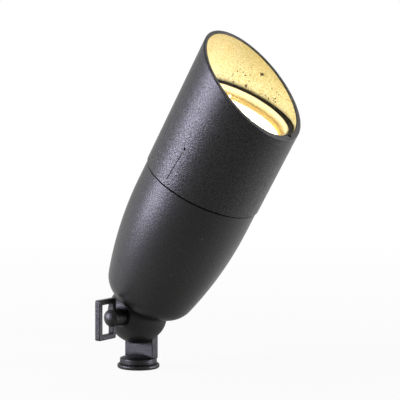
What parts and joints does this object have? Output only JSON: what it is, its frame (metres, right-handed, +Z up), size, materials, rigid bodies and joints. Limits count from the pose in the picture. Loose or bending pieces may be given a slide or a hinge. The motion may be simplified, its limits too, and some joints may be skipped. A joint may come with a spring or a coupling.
{
  "type": "landscape spotlight",
  "caption": "Bullet-shaped black landscape spotlight with a slant-cut turning cowl, a lit reflector lamp and a thumbscrew tilt knuckle on a round threaded foot.",
  "frame": {"origin": "centre of the foot's underside, at the mouth of its tapped stem hole", "axes": "+Z up out of the foot; the tilt axis runs along Y through (0, 0, 27.5 mm), the thumbscrew is on the -Y side, and the head leans 30 degrees towards +X at rest"},
  "size_m": [0.1013, 0.0644, 0.1676],
  "materials": {
    "cast_base": "black textured powder coat on cast aluminium",
    "cast_housing": "black textured powder coat on cast aluminium",
    "cast_handle": "black textured powder coat on cast aluminium",
    "cast_cowl": "black textured powder coat outside, warm brass-coloured inside",
    "silicone": "matte black silicone",
    "seal_rubber": "matte",
    "grommet_rubber": "matte",
    "lamp_reflector": "vapour-coated pressed glass",
    "cover_glass": "clear",
    "lamp_capsule": "lit quartz",
    "lamp_ceramic": "unglazed",
    "pin_metal": "satin",
    "socket_ceramic": "unglazed",
    "contact_brass": "satin",
    "zinc_strap": "zinc plated",
    "screw_steel": "zinc plated",
    "lead_jacket": "matte",
    "stud_steel": "satin",
    "washer_steel": "blackened"
  },
  "bodies": {
    "base": {"knuckle_base": "cast_base"},
    "head": {"lower_housing": "cast_housing", "wire_grommet": "grommet_rubber", "socket_bracket": "zinc_strap", "bracket_screws": "screw_steel", "lamp_socket": "socket_ceramic", "socket_screws": "screw_steel", "socket_contacts": "contact_brass", "socket_leads": "lead_jacket", "cowl_o_ring": "seal_rubber", "lamp_reflector": "lamp_reflector", "lamp_cover_glass": "cover_glass", "lamp_capsule": "lamp_capsule", "lamp_base": "lamp_ceramic", "lamp_pins": "pin_metal"},
    "cowl": {"cowl": "cast_cowl", "lamp_gasket": "silicone"},
    "washer": {"thumbscrew_washer": "washer_steel"},
    "thumbscrew": {"thumbscrew_handle": "cast_handle", "thumbscrew_stud": "stud_steel"}
  },
  "joints": [
    {"name": "head_tilt", "type": "hinge", "parent": "base", "child": "head", "pos_m": [0, 0, 0.0275], "axis": [0, 1, 0], "range_deg": [-120, 60]},
    {"name": "cowl_turn", "type": "hinge", "parent": "head", "child": "cowl", "pos_m": [0, 0, 0.0275], "axis": [0.5, 0, 0.866], "continuous": true},
    {"name": "washer_slide", "type": "slide", "parent": "base", "child": "washer", "axis": [0, -1, 0], "range_m": [0, 0.002]},
    {"name": "thumbscrew_turn", "type": "hinge", "parent": "washer", "child": "thumbscrew", "pos_m": [0, 0, 0.0275], "axis": [0, -1, 0], "range_deg": [0, 721]}
  ],
  "couplings": [
    {"joint": "thumbscrew_turn", "follows": "washer_slide", "rad_per_m": 6283.2}
  ]
}
